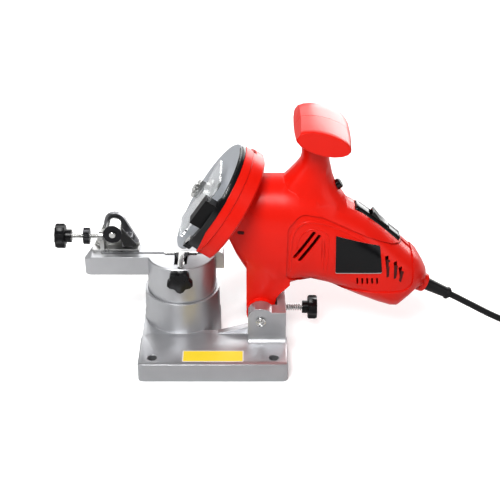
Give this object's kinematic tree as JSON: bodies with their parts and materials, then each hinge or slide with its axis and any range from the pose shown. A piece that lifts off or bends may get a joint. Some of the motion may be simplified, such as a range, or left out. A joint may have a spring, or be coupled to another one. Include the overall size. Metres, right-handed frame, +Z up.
{
  "type": "electric chainsaw sharpener",
  "caption": "Bench-mounted electric chain grinder with a tilting motor head, T-handle, slanted grinding wheel, swivelling chain rail with clamp and stop, and a coiled cord.",
  "frame": {"origin": "middle of the bolt bar's underside, on the bench", "axes": "+X along the bolt bar towards the motor's cord end, +Y from the operator to the rear, +Z up"},
  "size_m": [0.6035, 0.1725, 0.2237],
  "materials": {
    "cast_silver": "silver-grey paint on a casting, satin",
    "turntable_silver": "silver-grey paint on a casting, satin",
    "housing_red": "moulded red plastic, glossy",
    "black_plastic": "black moulded plastic, satin",
    "switch_black": "black moulded plastic, smooth",
    "zinc_steel": "bright plated steel",
    "spring_steel": "oiled spring wire",
    "blackened_steel": "blackened steel, satin",
    "plated_bracket": "zinc-plated sheet steel",
    "grinding_stone": "grey bonded abrasive, matt",
    "clear_plastic": "clear plastic, glossy",
    "copper": "copper segments",
    "lamination_steel": "bare steel laminations",
    "carbon": "carbon block, matt",
    "cord_rubber": "black rubber, matt"
  },
  "bodies": {
    "base": {"base_casting": "cast_silver", "hinge_pin": "zinc_steel", "pin_circlip": "blackened_steel", "return_spring": "spring_steel", "depth_spring": "spring_steel", "cord": "cord_rubber", "cord_coil": "cord_rubber", "cord_tie": "black_plastic", "plug": "cord_rubber"},
    "depth_screw": {"depth_screw": "blackened_steel"},
    "depth_knob": {"depth_knob": "black_plastic"},
    "turntable": {"turntable": "turntable_silver", "swivel_bolt": "zinc_steel", "lock_washer": "zinc_steel", "swivel_lock_nut": "zinc_steel", "clamp_collar": "zinc_steel", "stop_bracket": "plated_bracket", "stop_pin": "zinc_steel", "stop_washer": "blackened_steel", "pawl_spool": "zinc_steel", "pawl_spring": "spring_steel"},
    "clamp_screw": {"clamp_screw": "zinc_steel"},
    "clamp_knob": {"clamp_knob": "black_plastic"},
    "clamp_plate": {"clamp_plate": "zinc_steel"},
    "pawl": {"pawl": "blackened_steel"},
    "stop_screw": {"stop_screw": "zinc_steel"},
    "stop_knob": {"stop_knob": "black_plastic"},
    "stop_lock_nut": {"stop_lock_nut": "blackened_steel"},
    "head": {"housing_front": "housing_red", "housing_rear": "housing_red", "wheel_guard": "housing_red", "guard_screw": "zinc_steel", "shield_bracket": "black_plastic", "clear_shield": "clear_plastic", "switch_frame": "switch_black", "front_bearing": "zinc_steel", "rear_bearing": "zinc_steel", "stator": "lamination_steel", "brush_left": "carbon", "brush_right": "carbon", "housing_screw_1": "zinc_steel", "housing_screw_2": "zinc_steel", "housing_screw_3": "zinc_steel", "housing_screw_4": "zinc_steel", "strain_relief": "cord_rubber"},
    "wheel": {"grinding_wheel": "grinding_stone", "inner_flange": "zinc_steel", "outer_flange": "zinc_steel", "wheel_nut": "zinc_steel", "rotor_shaft": "zinc_steel", "rotor_core": "lamination_steel", "commutator": "copper", "fan": "black_plastic"},
    "switch_rocker": {"switch_rocker": "switch_black"},
    "lock_button": {"lock_button": "switch_black"}
  },
  "joints": [
    {"name": "depth_screw_slide", "type": "slide", "parent": "base", "child": "depth_screw", "axis": [1, 0, 0], "range_m": [0, 0.004]},
    {"name": "depth_knob_turn", "type": "hinge", "parent": "depth_screw", "child": "depth_knob", "pos_m": [0.0834, 0.0609, 0.0245], "axis": [1, 0, 0], "range_deg": [0, 2060]},
    {"name": "table_swivel", "type": "hinge", "parent": "base", "child": "turntable", "pos_m": [-0.0305, 0.0609, 0.0373], "axis": [0, 0, 1], "range_deg": [-35, 35]},
    {"name": "clamp_screw_slide", "type": "slide", "parent": "turntable", "child": "clamp_screw", "axis": [0, -0.9925, -0.1219], "range_m": [0, 0.0016]},
    {"name": "clamp_knob_turn", "type": "hinge", "parent": "clamp_screw", "child": "clamp_knob", "pos_m": [-0.0303, 0.0225, 0.0773], "axis": [0, -0.9925, -0.1219], "range_deg": [0, 462]},
    {"name": "clamp_plate_slide", "type": "slide", "parent": "turntable", "child": "clamp_plate", "axis": [0, -1, 0], "range_m": [0, 0.0016]},
    {"name": "pawl_hinge", "type": "hinge", "parent": "turntable", "child": "pawl", "pos_m": [-0.0914, 0.0682, 0.1135], "axis": [0, -1, 0], "range_deg": [0, 40], "stiffness_Nm_per_rad": 0.003, "springref_deg": -22.92},
    {"name": "stop_screw_slide", "type": "slide", "parent": "turntable", "child": "stop_screw", "axis": [-1, 0, 0], "range_m": [0, 0.004]},
    {"name": "stop_knob_turn", "type": "hinge", "parent": "stop_screw", "child": "stop_knob", "pos_m": [-0.1388, 0.0609, 0.1028], "axis": [-1, 0, 0], "range_deg": [0, 2060]},
    {"name": "lock_nut_turn", "type": "hinge", "parent": "stop_screw", "child": "stop_lock_nut", "pos_m": [-0.1174, 0.0609, 0.1028], "axis": [-1, 0, 0], "range_deg": [-90, 90]},
    {"name": "head_tilt", "type": "hinge", "parent": "base", "child": "head", "pos_m": [0.0435, 0.0609, 0.0405], "axis": [0, -1, 0], "range_deg": [0, 9], "stiffness_Nm_per_rad": 0.4, "springref_deg": -34.38},
    {"name": "wheel_spin", "type": "hinge", "parent": "head", "child": "wheel", "pos_m": [-0.004, 0.0609, 0.145], "axis": [0.829, 0, -0.5592], "continuous": true},
    {"name": "switch_tilt", "type": "hinge", "parent": "head", "child": "switch_rocker", "pos_m": [0.14783, 0.0609, 0.11673], "axis": [0, -1, 0], "range_deg": [0, 8]},
    {"name": "lock_press", "type": "slide", "parent": "head", "child": "lock_button", "axis": [-0.809, 0, -0.5878], "range_m": [0, 0.002], "stiffness_N_per_m": 300, "springref_m": -0.002}
  ],
  "couplings": [
    {"joint": "depth_knob_turn", "follows": "depth_screw_slide", "rad_per_m": 8976},
    {"joint": "stop_knob_turn", "follows": "stop_screw_slide", "rad_per_m": 8976},
    {"joint": "clamp_knob_turn", "follows": "clamp_screw_slide", "rad_per_m": 5026.5},
    {"joint": "clamp_plate_slide", "follows": "clamp_screw_slide", "ratio": 0.99255}
  ]
}
